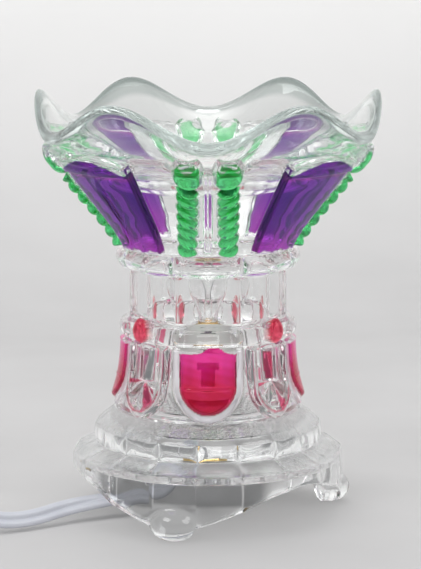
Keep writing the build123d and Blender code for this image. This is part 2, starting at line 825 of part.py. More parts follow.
def main():
    save(glass_base(), "glass_base")
    shade = glass_shade()
    save(shade, "glass_shade")
    save(clear_relief(shade), "clear_relief")
    save(pink_petals(shade), "pink_petals")
    save(red_beads(shade), "red_beads")
    save(purple_panels(shade), "purple_panels")
    save(green_columns(shade), "green_columns")
    save(wax_dish(), "wax_dish")
    save(lamp_holder(), "lamp_holder")
    save(tube(SHELL_R, SHELL_R - SHELL_T, SOCKET_Z0, HOLDER_Z1 - 0.5), "socket_shell")
    save(socket_contact(), "socket_contact")
    save(terminal_screws(), "terminal_screws")
    save(leads(), "leads")
    save(rubber_washers(), "rubber_washers")
    save(tube(WASHER_R, NIPPLE_R + 0.2, NUT_Z1, NUT_Z1 + STEEL_T), "clamp_washer")
    save(nipple_nut(), "nipple_nut")
    save(nipple(), "nipple")
    save(bulb_glass(), "bulb_glass")
    save(bulb_cap(), "bulb_cap")
    save(bulb_insulator(), "bulb_insulator")
    save(bulb_contact(), "bulb_contact")
    save(bulb_stem(), "bulb_stem")
    save(bulb_filament(), "bulb_filament")
    save(cord_tube(cord_path(CORD_POINTS), "cord"), "cord")
    save(cord_tube(cord_path(TAIL_POINTS), "cord_tail"), "cord_tail")
    path = coil_path()
    save(cord_tube(path, "cord_coil"), "cord_coil")
    print("coil's least gap to itself", round(least_gap(path), 2))
    save(cord_end(), "cord_end")
    save(coil_tie(), "coil_tie")
    save(dimmer_bottom(), "dimmer_bottom")
    save(dimmer_top(), "dimmer_top")
    save(dimmer_screws(), "dimmer_screws")
    save(dimmer_board(), "dimmer_board")
    save(dimmer_dial(), "dimmer_dial")
    save(plug_body(), "plug_body")
    save(plug_blades(), "plug_blades")


main()
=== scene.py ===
"""Looks for the wax melt warmer: pressed glass with stained relief, lamp, flat cord and studio."""

from math import cos, pi, radians, sin

import bmesh
import bpy
import numpy as np
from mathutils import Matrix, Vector


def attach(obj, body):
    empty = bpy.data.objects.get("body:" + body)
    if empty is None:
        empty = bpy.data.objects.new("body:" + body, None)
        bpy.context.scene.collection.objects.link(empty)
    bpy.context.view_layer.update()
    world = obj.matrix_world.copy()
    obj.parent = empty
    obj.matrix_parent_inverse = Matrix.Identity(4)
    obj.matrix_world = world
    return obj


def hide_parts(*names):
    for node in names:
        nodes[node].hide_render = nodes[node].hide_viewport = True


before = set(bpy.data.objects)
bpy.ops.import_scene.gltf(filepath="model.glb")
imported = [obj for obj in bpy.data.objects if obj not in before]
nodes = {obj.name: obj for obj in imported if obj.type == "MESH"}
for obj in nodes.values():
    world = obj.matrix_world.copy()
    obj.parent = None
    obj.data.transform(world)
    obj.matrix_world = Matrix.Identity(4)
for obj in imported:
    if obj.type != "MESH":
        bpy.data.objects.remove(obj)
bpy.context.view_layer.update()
scene = bpy.context.scene
MM = 0.001


# Small maths on arrays


def clamp(x):
    return np.clip(x, 0.0, 1.0)


def ramp(a, b, x):
    """0 before a, 1 after b, smooth between."""
    t = clamp((x - a) / (b - a))
    return t * t * (3 - 2 * t)


def half_round(x):
    """A half circle's height: 1 at x = 0, 0 from x = 1 on."""
    return np.sqrt(np.maximum(0.0, 1 - x**2))


def arch(t):
    """A quarter circle: 0 at t = 0, 1 from t = 1 on."""
    return half_round(1 - clamp(t))


def blunt(*heights, soft=0.5):
    """The largest of some heights with its inner corners rounded."""
    out = heights[0]
    for h in heights[1:]:
        mix = clamp(0.5 + 0.5 * (h - out) / soft)
        out = out + (h - out) * mix + soft * mix * (1 - mix)
    return out


def local(phi, period, centre=0.0):
    """The angle from the nearest of the places centre + k * period."""
    return (phi - centre + period / 2) % period - period / 2


# Meshes from rings


def ring_mesh(name, points, closed=True, attributes=None):
    """A mesh from points[row, column] in millimetres whose columns close on themselves.

    With closed the last row joins the first; otherwise the first and last rows are capped by a point.
    """
    rows, cols = points.shape[:2]
    verts = points.reshape(-1, 3)
    index = np.arange(rows * cols).reshape(rows, cols)
    right = np.roll(index, -1, axis=1)
    if closed:
        up, up_right = np.roll(index, -1, axis=0), np.roll(right, -1, axis=0)
        faces = np.stack([index, right, up_right, up], -1).reshape(-1, 4).tolist()
    else:
        faces = np.stack([index[:-1], right[:-1], right[1:], index[1:]], -1).reshape(-1, 4).tolist()
        verts = np.vstack([verts, points[0].mean(axis=0), points[-1].mean(axis=0)])
        low, high = rows * cols, rows * cols + 1
        faces += [[low, right[0, c], index[0, c]] for c in range(cols)]
        faces += [[high, index[-1, c], right[-1, c]] for c in range(cols)]
    mesh = bpy.data.meshes.new(name)
    mesh.from_pydata((verts * MM).tolist(), [], faces)
    for key, values in (attributes or {}).items():
        values = np.asarray(values, np.float32)
        if values.ndim == 3:
            flat = np.ones((len(verts), 4), np.float32)
            flat[: rows * cols, :3] = values.reshape(-1, 3)
            mesh.attributes.new(key, "FLOAT_COLOR", "POINT").data.foreach_set("color", flat.ravel())
        else:
            flat = np.zeros(len(verts), np.float32)
            flat[: rows * cols] = values.ravel()
            mesh.attributes.new(key, "FLOAT", "POINT").data.foreach_set("value", flat)
    mesh.polygons.foreach_set("use_smooth", np.ones(len(mesh.polygons), bool))
    fix = bmesh.new()
    fix.from_mesh(mesh)
    bmesh.ops.recalc_face_normals(fix, faces=fix.faces)
    fix.to_mesh(mesh)
    fix.free()
    obj = bpy.data.objects.new(name, mesh)
    scene.collection.objects.link(obj)
    return obj


OUTLINE_STEP = 0.1  # millimetres between the points of a rounded outline


def chords(p):
    """The length along a line of points up to each of them."""
    return np.concatenate([[0], np.cumsum(np.hypot(*np.diff(p, axis=0).T))])


def rounded(points, sigma):
    """Close points on a closed outline in (radius, height), its corners eased over about sigma."""
    p = np.array([*points, points[0]], float)
    run = chords(p)
    s = np.arange(0, run[-1], OUTLINE_STEP)
    gain = np.exp(-2 * (pi * np.fft.fftfreq(len(s), OUTLINE_STEP) * sigma) ** 2)
    line = [np.interp(s, run, p[:, i]) for i in (0, 1)]
    return np.stack([np.fft.ifft(np.fft.fft(v) * gain).real for v in line], -1)


def curve_through(points, count):
    """A smooth line through points, with the chord length as its parameter."""
    p = np.array(points, float)
    run = chords(p)
    slope = np.gradient(p, run, axis=0)
    out = []
    for s in np.linspace(0, run[-1], count):
        i = min(np.searchsorted(run, s, side="right") - 1, len(p) - 2)
        h = run[i + 1] - run[i]
        t = (s - run[i]) / h
        a = 2 * t**3 - 3 * t**2 + 1
        b = t**3 - 2 * t**2 + t
        c = -2 * t**3 + 3 * t**2
        d = t**3 - t**2
        out.append(a * p[i] + b * h * slope[i] + c * p[i + 1] + d * h * slope[i + 1])
    return [tuple(q) for q in out]


def turned(radius, height, phi):
    """points[row, column] from radius and height arrays and the columns' angles in degrees."""
    a = np.radians(phi)[None, :]
    return np.stack([radius * np.cos(a), radius * np.sin(a), height + 0 * a], -1)


# Nodes of materials

MIX_A, MIX_B, MIX_COLOUR = 6, 7, 2  # a Mix node's colour sockets


def feed(tree, socket, value):
    """Links a socket to another one, or sets it to a number or a colour."""
    if isinstance(value, bpy.types.NodeSocket):
        tree.links.new(value, socket)
    elif isinstance(value, tuple):
        socket.default_value = (*value, 1.0)
    else:
        socket.default_value = value


def add(tree, kind, **values):
    """A node with some of its inputs and settings given."""
    node = tree.nodes.new(kind)
    for key, value in values.items():
        if key in node.inputs:
            feed(tree, node.inputs[key], value)
        else:
            setattr(node, key, value)
    return node


def maths(tree, operation, *values):
    node = add(tree, "ShaderNodeMath", operation=operation)
    for socket, value in zip(node.inputs, values):
        feed(tree, socket, value)
    return node.outputs[0]


def blend(tree, share, first, second):
    """A colour between two, each given as a colour or a socket."""
    mix = add(tree, "ShaderNodeMix", data_type="RGBA", Factor=share)
    feed(tree, mix.inputs[MIX_A], first)
    feed(tree, mix.inputs[MIX_B], second)
    return mix.outputs[MIX_COLOUR]


def carried(tree, name, output="Fac"):
    """A value that the mesh carries at its points."""
    return add(tree, "ShaderNodeAttribute", attribute_name=name).outputs[output]


def object_place(tree):
    return add(tree, "ShaderNodeTexCoord").outputs["Object"]


def noise(tree, scale, detail):
    """Cloudy values that stay where they are on the object."""
    place = object_place(tree)
    return add(tree, "ShaderNodeTexNoise", Vector=place, Scale=scale, Detail=detail).outputs["Fac"]


def object_axes(tree):
    return add(tree, "ShaderNodeSeparateXYZ", Vector=object_place(tree)).outputs


def material(name, **sockets):
    mat = bpy.data.materials.new(name)
    mat.use_nodes = True
    shader = mat.node_tree.nodes["Principled BSDF"]
    for key, value in sockets.items():
        feed(mat.node_tree, shader.inputs[key.replace("_", " ")], value)
    return mat, mat.node_tree, shader


def bumped(tree, shader, scale, strength, distance, detail=2.0, mask=None):
    """Fine unevenness from noise, on top of any that is there."""
    height = noise(tree, scale, detail)
    if mask is not None:
        height = maths(tree, "MULTIPLY", height, mask)
    bump = add(tree, "ShaderNodeBump", Height=height, Strength=strength, Distance=distance)
    had = shader.inputs["Normal"].links
    if had:
        tree.links.new(had[0].from_socket, bump.inputs["Normal"])
    tree.links.new(bump.outputs["Normal"], shader.inputs["Normal"])


def mottled(tree, shader, colour, other, scale):
    """A colour that wanders a little towards another."""
    band = add(tree, "ShaderNodeValToRGB", Fac=noise(tree, scale, 3.0))
    for stop, place, tone in zip(band.color_ramp.elements, (0.35, 0.65), (colour, other)):
        stop.position = place
        stop.color = (*tone, 1)
    tree.links.new(band.outputs["Color"], shader.inputs["Base Color"])


def clear_glass(name, colour, wave, shadow):
    """Glass that dims, rather than stops, the light that falls through it."""
    mat, tree, shader = material(
        name, Base_Color=colour, Roughness=0.0, IOR=1.5, Transmission_Weight=1.0
    )
    bumped(tree, shader, 60.0, wave, 0.0006, 1.0)
    path = add(tree, "ShaderNodeLightPath")
    thin = add(tree, "ShaderNodeBsdfTransparent", Color=(shadow, shadow, shadow))
    both = add(tree, "ShaderNodeMixShader", Fac=path.outputs["Is Shadow Ray"])
    tree.links.new(shader.outputs["BSDF"], both.inputs[1])
    tree.links.new(thin.outputs["BSDF"], both.inputs[2])
    tree.links.new(both.outputs["Shader"], tree.nodes["Material Output"].inputs["Surface"])
    return mat, tree, shader


def plastic(name, colour, other, roughness, scale=300.0, bump=0.15):
    mat, tree, shader = material(name, Roughness=roughness)
    mottled(tree, shader, colour, other, 90.0)
    bumped(tree, shader, scale, bump, 0.0002)
    return mat


def metal(name, colour, other, roughness):
    mat, tree, shader = material(name, Metallic=1.0, Roughness=roughness)
    mottled(tree, shader, colour, other, 400.0)
    bumped(tree, shader, 1500.0, 0.1, 0.0001)
    return mat


# Materials

WHITE = (1.0, 1.0, 1.0)
DISH_CLEAR, DISH_EDGE = (0.95, 0.97, 0.96), (0.50, 0.57, 0.545)
# The base's second colour is painted shade: a dark grey for the shaded hollow seen through the skirt near
# the feet
BASE_CLEAR, BASE_PAINTED_SHADE = (0.975, 0.985, 0.985), (0.20, 0.205, 0.21)
FROST = 0.2  # roughness of the base where it is mottled
GLINT_STAIN = 0.6  # how far the stain colours the shade's reflections

glass_dish, tree, shader = clear_glass("glass_dish", WHITE, 0.1, 0.95)
feed(tree, shader.inputs["Base Color"], blend(tree, carried(tree, "edge"), DISH_CLEAR, DISH_EDGE))

glass_base, tree, shader = clear_glass("glass_base", WHITE, 0.12, 0.94)
feed(tree, shader.inputs["Base Color"], blend(tree, carried(tree, "painted_shade"), BASE_CLEAR, BASE_PAINTED_SHADE))
mottle_mask = carried(tree, "mottle")
bumped(tree, shader, 900.0, 0.9, 0.0006, 2.0, mottle_mask)
feed(tree, shader.inputs["Roughness"], maths(tree, "MULTIPLY", mottle_mask, FROST))

glass_shade, tree, shader = clear_glass("glass_shade", WHITE, 0.15, 0.96)
stain = carried(tree, "stain", "Color")
feed(tree, shader.inputs["Base Color"], stain)
feed(tree, shader.inputs["Specular Tint"], blend(tree, GLINT_STAIN, WHITE, stain))
see_through = maths(tree, "SUBTRACT", 1.0, carried(tree, "lacquer"))
feed(tree, shader.inputs["Transmission Weight"], see_through)

vinyl = plastic("vinyl", (0.53, 0.545, 0.60), (0.57, 0.585, 0.635), 0.32, 700.0, 0.1)
case = plastic("case", (0.74, 0.74, 0.75), (0.78, 0.78, 0.78), 0.35)
dial = plastic("dial", (0.60, 0.60, 0.61), (0.66, 0.66, 0.66), 0.45)
tie_band = plastic("tie_band", (0.62, 0.62, 0.64), (0.68, 0.68, 0.7), 0.6)
phenolic = plastic("phenolic", (0.030, 0.030, 0.033), (0.045, 0.044, 0.046), 0.38)
rubber = plastic("rubber", (0.018, 0.018, 0.018), (0.03, 0.03, 0.03), 0.75)
board = plastic("board", (0.02, 0.10, 0.04), (0.03, 0.14, 0.05), 0.4)
brass = metal("brass", (0.72, 0.50, 0.20), (0.80, 0.58, 0.26), 0.24)
steel = metal("steel", (0.52, 0.52, 0.53), (0.6, 0.6, 0.61), 0.3)
solder = metal("solder", (0.42, 0.42, 0.41), (0.5, 0.5, 0.49), 0.45)
tungsten = metal("tungsten", (0.46, 0.46, 0.47), (0.54, 0.54, 0.55), 0.4)
bulb_clear, _, _ = clear_glass("bulb_clear", (0.97, 0.97, 0.97), 0.0, 0.86)

# Dark T-shapes of painted shade on the lamp holder, where terminal windows would show a shaded inside
SHADED_WINDOWS = (
    # width, height, middle, colour
    (3.4, 7.2, 52.0, (0.16, 0.13, 0.18)),
    (6.2, 2.9, 57.0, (0.02, 0.02, 0.022)),
)


def glazed(name, colour, other):
    """Glazed white with four T-shaped terminal windows painted dark on its wall: painted shade, as the
    wall has no openings there.
    """
    mat, tree, shader = material(name, Roughness=0.16)
    mottled(tree, shader, colour, other, 60.0)
    bumped(tree, shader, 160.0, 0.1, 0.0002)
    tone = shader.inputs["Base Color"].links[0].from_socket
    axes = object_axes(tree)
    x, y = maths(tree, "ABSOLUTE", axes["X"]), maths(tree, "ABSOLUTE", axes["Y"])
    aside = maths(tree, "MINIMUM", x, y)
    for width, height, middle, window_shade in SHADED_WINDOWS:
        wide = maths(tree, "LESS_THAN", aside, width * MM / 2)
        tall = maths(tree, "COMPARE", axes["Z"], middle * MM, height * MM / 2)
        tone = blend(tree, maths(tree, "MULTIPLY", wide, tall), tone, window_shade)
    feed(tree, shader.inputs["Base Color"], tone)
    return mat


porcelain = glazed("porcelain", (0.90, 0.88, 0.85), (0.93, 0.92, 0.90))

DRESS = {
    porcelain: ("lamp_holder",),
    phenolic: ("bulb_insulator",),
    brass: ("socket_shell", "socket_contact", "terminal_screws", "nipple_nut", "bulb_cap", "plug_blades"),
    steel: ("clamp_washer", "nipple", "dimmer_screws"),
    solder: ("bulb_contact",),
    tungsten: ("bulb_filament",),
    bulb_clear: ("bulb_glass", "bulb_stem"),
    rubber: ("rubber_washers",),
    vinyl: ("leads",),
    case: ("dimmer_bottom", "dimmer_top", "plug_body"),
    dial: ("dimmer_dial",),
    board: ("dimmer_board",),
    tie_band: ("coil_tie",),
}
for mat, names in DRESS.items():
    for name in names:
        nodes[name].data.materials.clear()
        nodes[name].data.materials.append(mat)


def finish_piece(obj, mat, body, replaced):
    obj.data.materials.append(mat)
    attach(obj, body)
    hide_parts(*replaced)


# Camera at the photograph's angle

CAMERA_AT = (0.0009, -0.960, 0.250)
CAMERA_DOWN = 9.79  # degrees below the level

camera = bpy.data.objects.new("camera", bpy.data.cameras.new("camera"))
scene.collection.objects.link(camera)
camera.data.sensor_width = 36.0
camera.data.lens = 167.5
camera.location = CAMERA_AT
camera.rotation_euler = (radians(90 - CAMERA_DOWN), 0, 0)
camera.data.clip_start = 0.05
camera.data.clip_end = 20.0
scene.camera = camera


# Cord: a flat twin lead, from the lamp to the dimmer and from there by a coil to the plug

LOBE_R = 1.5
LINE_Y = -40.0
ENTRY_Z = 7.5
COIL_X = -189.0
COIL_R = 41.5
PITCH = 6.7
COIL_Z = 4.0
HALVES = 5  # half turns in each layer
LEAD_POINTS = (
    (0, 0, 47.5),
    (0, 0, 7.4),
    (-46.0, -18.0, 6.8),
    (-68.0, -35.0, 3.2),
    (-84.0, LINE_Y, ENTRY_Z),
    (-97.0, LINE_Y, ENTRY_Z),
)
TAIL_POINTS = (
    (-153.0, LINE_Y, ENTRY_Z),
    (-164.0, LINE_Y, ENTRY_Z),
    (-178.0, LINE_Y, COIL_Z),
)
PLUG_RUN = (6, 36)  # from the coil's end along x
# Place along the lead, and the lean of its wide side in degrees
LEAD_TILT = ((0, 0), (0.3, 20), (0.45, 62), (0.8, 72), (1, 90))
TAIL_TILT = ((0, 90), (0.04, 45), (0.96, 45), (1, 0))


def coil_points(per_half=8):
    """Control points of the coil: in on the floor, up a layer, and out again."""
    step = PITCH / 2
    radii = [COIL_R - step * i for i in range(HALVES)]
    rows = [*radii, radii[-1] - step, *reversed(radii)]
    points = []
    side, y, z = -1, LINE_Y, COIL_Z
    for i, r in enumerate(rows):
        climb = PITCH if i == HALVES else 0.0
        middle = y - r * side
        wide = r / cos(pi / (2 * per_half)) ** 2
        for k in range(per_half):
            a = pi * (k + 0.5) / per_half
            rise = climb * (1 - cos(a)) / 2
            points.append((COIL_X + side * wide * sin(a), middle + side * wide * cos(a), z + rise))
        y = y - 2 * r * side
        z += climb
        side = -side
    return points, (COIL_X, y, z)


def nurbs_line(name, points):
    """Points read along a smooth spline that has these control points, in metres."""
    data = bpy.data.curves.new(name, "CURVE")
    data.dimensions = "3D"
    data.resolution_u = 12
    spline = data.splines.new("NURBS")
    spline.points.add(len(points) - 1)
    for place, p in zip(spline.points, points):
        place.co = (*[c * MM for c in p], 1.0)
    spline.order_u = 3
    spline.use_endpoint_u = True
    holder = bpy.data.objects.new(name, data)
    scene.collection.objects.link(holder)
    bpy.context.view_layer.update()
    mesh = bpy.data.meshes.new_from_object(holder)
    line = np.array([v.co for v in mesh.vertices])
    bpy.data.objects.remove(holder)
    bpy.data.meshes.remove(mesh)
    return line


def twin_section(count=17, web=150):
    """The lead's outline in millimetres: two round lobes that meet in a web."""
    t = np.radians(np.linspace(-web, web, count))
    lobe = LOBE_R * np.stack([1 + np.cos(t), np.sin(t)], -1)
    return np.vstack([lobe, -lobe])


def twin_lead(name, line, tilt):
    """A flat lead along a line. tilt gives, along it, the lean of its wide side in degrees."""
    tangent = np.gradient(line, axis=0)
    tangent /= np.linalg.norm(tangent, axis=1)[:, None]
    side = np.zeros_like(line)
    last = np.array((0.0, 1.0, 0.0))
    for i, t in enumerate(tangent):
        last = last - t * (last @ t)
        level = np.cross((0, 0, 1.0), t)
        if np.linalg.norm(level) > 0.35:
            level /= np.linalg.norm(level)
            if level @ last < 0:
                level = -level
            last = 0.7 * last / np.linalg.norm(last) + 0.3 * level
            last = last - t * (last @ t)
        last = last / np.linalg.norm(last)
        side[i] = last
    over = np.cross(tangent, side)
    over *= np.where(over[:, 2:] < 0, -1.0, 1.0)
    lean = np.radians(np.interp(np.linspace(0, 1, len(line)), *zip(*tilt)))[:, None]
    wide = side * np.cos(lean) + over * np.sin(lean)
    thin = np.cross(tangent, wide)
    section = twin_section()
    points = line[:, None, :] / MM + section[None, :, :1] * wide[:, None, :]
    points = points + section[None, :, 1:] * thin[:, None, :]
    return ring_mesh(name, points, closed=False)


lead_line = nurbs_line("lead_route", LEAD_POINTS)
lead = twin_lead("lead", lead_line, LEAD_TILT)
finish_piece(lead, vinyl, "base", ["cord"])

turns, (end_x, end_y, end_z) = coil_points()
plug_points = [(end_x + run, end_y, end_z) for run in PLUG_RUN]
tail_line = nurbs_line("tail_route", [*TAIL_POINTS, *turns, *plug_points])
tail = twin_lead("tail", tail_line, TAIL_TILT)
finish_piece(tail, vinyl, "base", ["cord_tail", "cord_coil", "cord_end"])


# Wax dish

DISH_Z = 126.35
WAVES = 6
RUFFLE = 5.8
SIDE_LEAN = 6.0  # how far the two side crests lean to the back, in degrees
PLAIN_R, RUFFLE_R = 46.0, 61.2  # where the ruffle starts, and where it is full
EDGE_R = (58.6, 60.6)  # where the edge's darker tint starts, and where it is full
TOP = [
    (0.6, 0),
    (12, 0),
    (24, 0.05),
    (30, 1.35),
    (36.5, 4.6),
    (46.0, 11.9),
    (54.0, 18.0),
    (60.2, 22.6),
]
EDGE = [(61.4, 23.25), (62.5, 22.9), (63.05, 21.7), (62.8, 20.3), (62.0, 19.3)]
UNDER = [
    (61.0, 18.45),
    (54.0, 12.9),
    (46.0, 6.4),
    (38.0, 0.4),
    (32, -3.0),
    (27, -4.4),
    (13, -4.4),
    (0.6, -4.4),
]


def make_dish(columns=432, rows=260):
    phi = np.linspace(0, 360, columns, endpoint=False)
    r, z = np.array(curve_through([*TOP, *EDGE, *UNDER], rows)).T
    share = np.maximum(0, (r - PLAIN_R) / (RUFFLE_R - PLAIN_R))
    back = np.degrees(np.arcsin(np.sin(np.radians(phi))))
    lean = SIDE_LEAN * np.cos(np.radians(back)) ** 2
    wave = np.cos(np.radians(WAVES * (back - lean)))[None, :]
    height = DISH_Z + z[:, None] + RUFFLE * share[:, None] ** 1.5 * wave
    edge = ramp(*EDGE_R, r)[:, None] + 0 * wave
    points = turned(r[:, None] + 0 * wave, height, phi)
    return ring_mesh("dish", points, closed=False, attributes={"edge": edge})


finish_piece(make_dish(), glass_dish, "dish", ["wax_dish"])


# Glass base

FRONT = 270.0
FACETS = 18
HALF_FACET = 180 / FACETS
FACET_TURN = 5.0
SKIRT_R, SKIRT_TOP, SKIRT_SWELL = 50.0, 23.5, 0.7
TIER_R, TIER_Z0, TIER_Z1, TIER_SWELL = 42.0, 27.0, 33.5, 0.6
SEAT_R, SEAT_Z = 34.9, 39.3
BOSS_R, BOSS_TOP = 28.0, 41.3
HOLE_R = 5.4
PLATE_R, PLATE_Z = 34.0, 32.5
HAUNCH = (36.0, 24.0)  # where the hollow widens under the tier
INNER_R, INNER_TOP = 44.0, 19.5
INNER_LOW = 18.5  # the inner wall's lowest top over an arch
ARCH_LOW, ARCH_RISE, ARCH_SPAN, ARCH_POWER = 5, 12, 76.6, 1.15
FEET = (15.0, 135.0, 255.0)
FOOT_W, FOOT_H, FOOT_Z = 8.7, 6.1, 5.7
FOOT_R, FOOT_OUT = 47.74, 7.0
FOOT_FLOOR = 0.02
UNDER_ROWS = 12
# Heights and reach of the band of painted shade on the base's inner wall
PAINTED_SHADE_Z = (10.8, 12.4, 20.0, 21.2)  # starts, full, ends and gone
PAINTED_SHADE_REACH = (38, 46)  # degrees from a foot


def facet_columns(count=33):
    """Angles round the base, closer together towards each facet's edges."""
    one = HALF_FACET * np.sin(np.linspace(-pi / 2, pi / 2, count, endpoint=False))
    first = one + FACET_TURN + HALF_FACET
    return np.concatenate([first + 2 * HALF_FACET * k for k in range(FACETS)])


def facet(phi):
    """A facet's distance from the axis over its corners', and its pillow, 1 but at its edges."""
    a = np.abs(local(phi, 2 * HALF_FACET, FACET_TURN + HALF_FACET))
    return cos(radians(HALF_FACET)) / np.cos(np.radians(a)), 1 - (a / HALF_FACET) ** 5


def make_base():
    phi = facet_columns()
    cut, pillow = facet(phi)
    foot_at = np.min(np.abs([local(phi, 360, f) for f in FEET]), axis=0)
    arch_at = np.min(np.abs([local(phi, 360, f + 60) for f in FEET]), axis=0)
    across = SKIRT_R * np.sin(np.radians(arch_at))
    rise = ARCH_LOW + ARCH_RISE * np.maximum(0, np.cos(pi * across / ARCH_SPAN)) ** ARCH_POWER
    u = SKIRT_R * np.radians(foot_at)
    drop = FOOT_Z - FOOT_H * half_round(u / FOOT_W)
    low = np.where(u < FOOT_W, np.minimum(rise, np.maximum(drop, FOOT_FLOOR)), rise)
    inner_low = np.minimum(low, INNER_LOW)

    rows_r, rows_z, flags, walls = [], [], [], []

    def segment(start, end, count, faceted=False, mottle=0, bulge=0.0, wall=0):
        """Rows from one corner to the next, closer together at both ends."""
        (r0, z0), (r1, z1) = start, end
        long = np.hypot(r1 - r0, z1 - z0) + 1e-6
        for v in (1 - np.cos(np.linspace(0, pi, count, endpoint=False))) / 2:
            swell = bulge * (pillow * sin(pi * v) ** 0.35 - 1)
            r = (cut if faceted else 1.0) * (r0 + (r1 - r0) * v) + swell * (z1 - z0) / long
            rows_r.append(r + 0 * phi)
            rows_z.append(z0 + (z1 - z0) * v - swell * (r1 - r0) / long + 0 * phi)
            flags.append(mottle)
            walls.append(wall)

    skirt, tier = SKIRT_R + SKIRT_SWELL, TIER_R + TIER_SWELL
    segment((skirt, low), (skirt, SKIRT_TOP + 0 * low), 40, faceted=True, bulge=1.0)
    skirt_rows = len(rows_r)
    shoulder = (SKIRT_R - 0.2, SKIRT_TOP)
    segment(shoulder, (TIER_R, TIER_Z0), 20, faceted=True, mottle=1, bulge=0.7)
    segment((tier, TIER_Z0), (tier, TIER_Z1), 22, faceted=True, bulge=1.0)
    segment((TIER_R, TIER_Z1), (SEAT_R, SEAT_Z), 20, faceted=True, mottle=1, bulge=0.7)
    segment((SEAT_R, SEAT_Z), (BOSS_R, SEAT_Z), 10)
    segment((BOSS_R, SEAT_Z), (BOSS_R, BOSS_TOP), 6)
    segment((BOSS_R, BOSS_TOP), (HOLE_R, BOSS_TOP), 14)
    segment((HOLE_R, BOSS_TOP), (HOLE_R, PLATE_Z), 8)
    segment((HOLE_R, PLATE_Z), (PLATE_R, PLATE_Z), 14, mottle=2)
    segment((PLATE_R, PLATE_Z), HAUNCH, 8)
    segment(HAUNCH, (INNER_R, INNER_TOP), 12, wall=1)
    segment((INNER_R, INNER_TOP + 0 * low), (INNER_R, inner_low), 48, wall=1)
    segment((INNER_R, inner_low), (SKIRT_R, low), UNDER_ROWS, faceted=True)
    r, z = np.array(rows_r), np.array(rows_z)
    for _ in range(2):
        r = (np.roll(r, 1, 0) + 2 * r + np.roll(r, -1, 0)) / 4
        z = (np.roll(z, 1, 0) + 2 * z + np.roll(z, -1, 0)) / 4

    # Feet: a rounded cabochon on the skirt, flat towards the hollow
    body = 1 - (u[None, :] / FOOT_W) ** 2 - ((z - FOOT_Z) / FOOT_H) ** 2
    bulge = FOOT_R + FOOT_OUT * np.sqrt(np.maximum(0, body))
    rows = np.arange(len(r))[:, None]
    r = np.where((rows < skirt_rows) & (body > 0), np.maximum(r, bulge), r)
    under = rows >= len(r) - UNDER_ROWS
    r = np.where(under & (u[None, :] < FOOT_W), np.minimum(r, FOOT_R + 0 * r), r)

    # Mottle on the slopes, fainter in front, and a band of painted shade on the inner wall near the feet:
    # dark grey for the shaded hollow seen through the skirt
    aside = np.abs(local(phi, 360, FRONT))[None, :]
    flags = np.array(flags, float)[:, None]
    mottle = np.where(flags > 1, flags, flags * (0.15 + 0.85 * ramp(22, 48, aside)))
    uneven = 1.2 * np.sin(2.4 * np.floor((phi - FACET_TURN) * FACETS / 360))[None, :]
    start, full, end, gone = PAINTED_SHADE_Z
    painted_shade = np.array(walls, float)[:, None] * ramp(start, full, z + uneven) * (1 - ramp(end, gone, z))
    painted_shade = painted_shade * ((1 - ramp(*PAINTED_SHADE_REACH, foot_at)) * ramp(0.0, 0.22, pillow))[None, :]
    return ring_mesh("base_glass", turned(r, z, phi), attributes={"mottle": mottle, "painted_shade": painted_shade})


finish_piece(make_base(), glass_base, "base", ["glass_base"])


# Stained shade

RIM_Z = 136.8
LOW_WALL = [
    (33.2, 40.2),
    (32.5, 43.5),
    (31.3, 48.0),
    (30.4, 52.0),
    (29.7, 57.0),
    (29.3, 62.0),
    (29.2, 65.6),
]
CROWN_Z = 99.0
CROWN = [
    (31.3, 99.7),
    (33.4, 104.0),
    (37.0, 109.6),
    (42.0, 116.0),
    (47.8, 123.2),
    (53.4, 130.2),
    (58.0, 135.8),
]
INSIDE = [
    (53.8, 136.0),
    (49.7, 132.96),
    (44.1, 125.96),
    (38.3, 118.8),
    (33.3, 112.4),
    (29.7, 106.8),
    (27.5, 102.3),
    (25.0, 95.0),
    (24.4, 91.0),
]
WAIST_FLAT = 28.18
# Half width and lowest point of the U-ended petals
PINK_PETAL, BORDER, CLEAR_PETAL = (10.2, 42.0), (13.0, 39.8), (9.0, 40.2)
PETAL_TOP = (65.6, 66.4)
CREASE_Z = 51.0  # the line across a pink petal
FAN_Z = 53.0  # the middle of the cuts low on a clear petal
OVAL_R, OVAL_OUT, OVAL_Z, OVAL_HALF = 3.1, 29.6, 69.6, 9.8
BALL_R, BALL_OUT, BALL_Z = 3.2, 33.6, 70.9
LOBE_OUT, LOBE_Z, LOBE_H = 2.2, 95.9, 3.6
ROPE_Z, ROPE_AT, ROPE_R, ROPE_GROWS = 100.4, 7.1, 3.5, 0.7
ROPE_LEAN, ROPE_PITCH, ROPE_END = 0.45, 5.2, 14.4
KNOB_R, KNOB_FROM, KNOB_TO = 5.0, 8.9, 5.2  # the last two below the rim
PANEL_HALF, PANEL_OUT = 16.5, 3.0  # degrees, and millimetres
ALMOND_AT = 21.6  # degrees from the middle of a pair of columns

CLEAR = np.array((0.985, 0.99, 0.988))
PURPLE = np.array((0.22, 0.02, 0.47))
MAGENTA = np.array((0.56, 0.07, 0.60))
GREEN = np.array((0.12, 0.72, 0.26))
# Dark green of painted shade for the crease where a rope meets its knob
NOTCH_SHADE = np.array((0.02, 0.22, 0.07))
PINK = np.array((1.0, 0.13, 0.54))
CRIMSON = np.array((0.80, 0.07, 0.19))
RED = np.array((0.86, 0.13, 0.22))
BLUSH = np.array((0.90, 0.18, 0.34))
# Milky white for the petals' borders: partly the glass's haze, partly painted light
MILKY_HAZE_AND_LIGHT = np.array((0.97, 0.95, 0.975))


def shade_columns():
    """Angles round the shade, closer together on the rope columns and at the panels' edges."""
    a = np.linspace(-45, 45, 3601)
    density = np.where(np.abs(a) < 20, 2.4, 1.3) + 1.8 * np.exp(-(((np.abs(a) - 28.5) / 1.6) ** 2))
    run = np.concatenate([[0], np.cumsum((density[1:] + density[:-1]) / 2 * np.diff(a))])
    count = int(run[-1])
    quarter = np.interp(np.arange(count) * run[-1] / count, run, a)
    return np.concatenate([quarter + 90 * k for k in range(4)])


